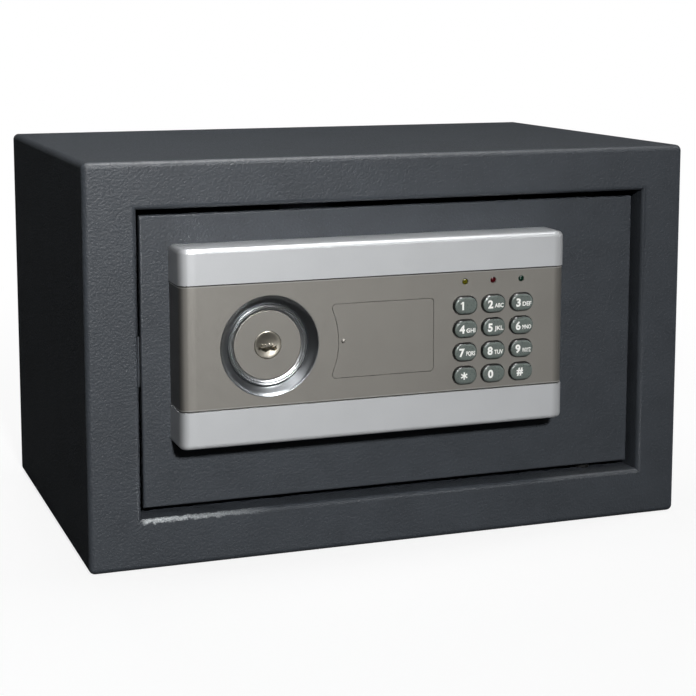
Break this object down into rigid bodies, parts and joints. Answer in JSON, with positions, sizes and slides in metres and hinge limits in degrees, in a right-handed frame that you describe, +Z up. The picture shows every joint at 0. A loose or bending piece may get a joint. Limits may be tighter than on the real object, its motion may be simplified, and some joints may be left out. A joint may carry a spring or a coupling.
{
  "type": "electronic safe",
  "caption": "Compact steel safe with a recessed hinged door, motor-driven bolts, a keypad fascia with status lamps, and an emergency key lock.",
  "frame": {"origin": "centre of the cabinet's underside, midway between the two floor fixing holes", "axes": "+X to the hinge side as seen from the front, +Y to the back of the cabinet, +Z up"},
  "size_m": [0.31, 0.2096, 0.193],
  "materials": {
    "cabinet_paint": "fine textured powder coat, dark grey",
    "door_paint": "fine textured powder coat, dark grey",
    "cover_paint": "matt black powder coat",
    "felt": "needle felt",
    "zinc_steel": "zinc plated",
    "bright_steel": "ground and plated",
    "motor_can": "rolled",
    "nylon": "moulded",
    "silver_plastic": "satin silver lacquer",
    "warm_grey_plastic": "satin warm grey lacquer",
    "chrome_ring": "polished",
    "lock_nickel": "nickel plated brass",
    "key_plastic": "moulded, domed",
    "black_plastic": "moulded",
    "circuit_board": "solder mask",
    "soft_rubber": "moulded",
    "lamp_lens": "clear coloured lenses",
    "contact_brass": "plated",
    "cell_wrap": "printed sleeve",
    "red_plastic": "moulded"
  },
  "bodies": {
    "cabinet": {"cabinet_shell": "cabinet_paint", "back_panel": "cabinet_paint", "hinge_plates": "cabinet_paint", "hinge_pins": "zinc_steel", "door_stops": "cabinet_paint", "floor_mat": "felt"},
    "door": {"door_plate": "door_paint", "hinge_blocks": "door_paint", "lock_cover": "cover_paint", "cover_screws": "zinc_steel", "guide_studs": "zinc_steel", "motor_bracket": "zinc_steel", "lock_nut": "zinc_steel", "fascia_screws": "zinc_steel", "motor": "motor_can", "hinge_washers": "nylon", "bolt_bushes": "nylon", "gearbox": "nylon", "fascia_housing": "silver_plastic", "fascia_plate": "warm_grey_plastic", "lock_disc": "warm_grey_plastic", "lock_bezel": "chrome_ring", "lock_barrel": "lock_nickel", "battery_tray": "black_plastic", "limit_switch": "black_plastic", "reset_switch": "black_plastic", "board_components": "black_plastic", "keypad_board": "circuit_board", "control_board": "circuit_board", "keypad_mat": "soft_rubber", "cable_grommet": "soft_rubber", "ribbon_cable": "soft_rubber", "wire_leads": "soft_rubber", "status_leds": "lamp_lens", "battery_contacts": "contact_brass", "power_contacts": "contact_brass", "batteries": "cell_wrap"},
    "bolt_carriage": {"bolts": "bright_steel", "bolt_bar": "zinc_steel", "bolt_screws": "zinc_steel"},
    "crank": {"crank": "zinc_steel"},
    "key_plug": {"lock_plug": "lock_nickel", "lock_cam": "zinc_steel", "cam_screw": "zinc_steel"},
    "cover_plate": {"cover_plate": "warm_grey_plastic"},
    "battery_lid": {"battery_lid": "black_plastic"},
    "reset_button": {"reset_button": "red_plastic"},
    "key_1": {"key_1": "key_plastic"},
    "key_2": {"key_2": "key_plastic"},
    "key_3": {"key_3": "key_plastic"},
    "key_4": {"key_4": "key_plastic"},
    "key_5": {"key_5": "key_plastic"},
    "key_6": {"key_6": "key_plastic"},
    "key_7": {"key_7": "key_plastic"},
    "key_8": {"key_8": "key_plastic"},
    "key_9": {"key_9": "key_plastic"},
    "key_star": {"key_star": "key_plastic"},
    "key_0": {"key_0": "key_plastic"},
    "key_hash": {"key_hash": "key_plastic"}
  },
  "joints": [
    {"name": "door_swing", "type": "hinge", "parent": "cabinet", "child": "door", "pos_m": [0.1085, -0.0815, 0.0975], "axis": [0, 0, 1], "range_deg": [0, 100]},
    {"name": "bolt_slide", "type": "slide", "parent": "door", "child": "bolt_carriage", "axis": [-1, 0, 0], "range_m": [0, 0.016]},
    {"name": "crank_turn", "type": "hinge", "parent": "door", "child": "crank", "pos_m": [-0.03, -0.071, 0.1055], "axis": [0, -1, 0], "range_deg": [0, 90]},
    {"name": "key_turn", "type": "hinge", "parent": "door", "child": "key_plug", "pos_m": [-0.0703, -0.08, 0.1055], "axis": [0, -1, 0], "range_deg": [0, 90]},
    {"name": "cover_plate_pull", "type": "slide", "parent": "door", "child": "cover_plate", "axis": [0, -1, 0], "range_m": [0, 0.012]},
    {"name": "battery_lid_pull", "type": "slide", "parent": "door", "child": "battery_lid", "axis": [0, 1, 0], "range_m": [0, 0.015]},
    {"name": "reset_press", "type": "slide", "parent": "door", "child": "reset_button", "axis": [0, -1, 0], "range_m": [0, 0.0012], "stiffness_N_per_m": 400, "springref_m": -0.0005},
    {"name": "key_1_press", "type": "slide", "parent": "door", "child": "key_1", "axis": [0, 1, 0], "range_m": [0, 0.0012], "stiffness_N_per_m": 400, "springref_m": -0.0005},
    {"name": "key_2_press", "type": "slide", "parent": "door", "child": "key_2", "axis": [0, 1, 0], "range_m": [0, 0.0012], "stiffness_N_per_m": 400, "springref_m": -0.0005},
    {"name": "key_3_press", "type": "slide", "parent": "door", "child": "key_3", "axis": [0, 1, 0], "range_m": [0, 0.0012], "stiffness_N_per_m": 400, "springref_m": -0.0005},
    {"name": "key_4_press", "type": "slide", "parent": "door", "child": "key_4", "axis": [0, 1, 0], "range_m": [0, 0.0012], "stiffness_N_per_m": 400, "springref_m": -0.0005},
    {"name": "key_5_press", "type": "slide", "parent": "door", "child": "key_5", "axis": [0, 1, 0], "range_m": [0, 0.0012], "stiffness_N_per_m": 400, "springref_m": -0.0005},
    {"name": "key_6_press", "type": "slide", "parent": "door", "child": "key_6", "axis": [0, 1, 0], "range_m": [0, 0.0012], "stiffness_N_per_m": 400, "springref_m": -0.0005},
    {"name": "key_7_press", "type": "slide", "parent": "door", "child": "key_7", "axis": [0, 1, 0], "range_m": [0, 0.0012], "stiffness_N_per_m": 400, "springref_m": -0.0005},
    {"name": "key_8_press", "type": "slide", "parent": "door", "child": "key_8", "axis": [0, 1, 0], "range_m": [0, 0.0012], "stiffness_N_per_m": 400, "springref_m": -0.0005},
    {"name": "key_9_press", "type": "slide", "parent": "door", "child": "key_9", "axis": [0, 1, 0], "range_m": [0, 0.0012], "stiffness_N_per_m": 400, "springref_m": -0.0005},
    {"name": "key_star_press", "type": "slide", "parent": "door", "child": "key_star", "axis": [0, 1, 0], "range_m": [0, 0.0012], "stiffness_N_per_m": 400, "springref_m": -0.0005},
    {"name": "key_0_press", "type": "slide", "parent": "door", "child": "key_0", "axis": [0, 1, 0], "range_m": [0, 0.0012], "stiffness_N_per_m": 400, "springref_m": -0.0005},
    {"name": "key_hash_press", "type": "slide", "parent": "door", "child": "key_hash", "axis": [0, 1, 0], "range_m": [0, 0.0012], "stiffness_N_per_m": 400, "springref_m": -0.0005}
  ],
  "couplings": [
    {"joint": "crank_turn", "follows": "bolt_slide", "rad_per_m": 98.175},
    {"joint": "key_turn", "follows": "bolt_slide", "rad_per_m": 98.175}
  ]
}
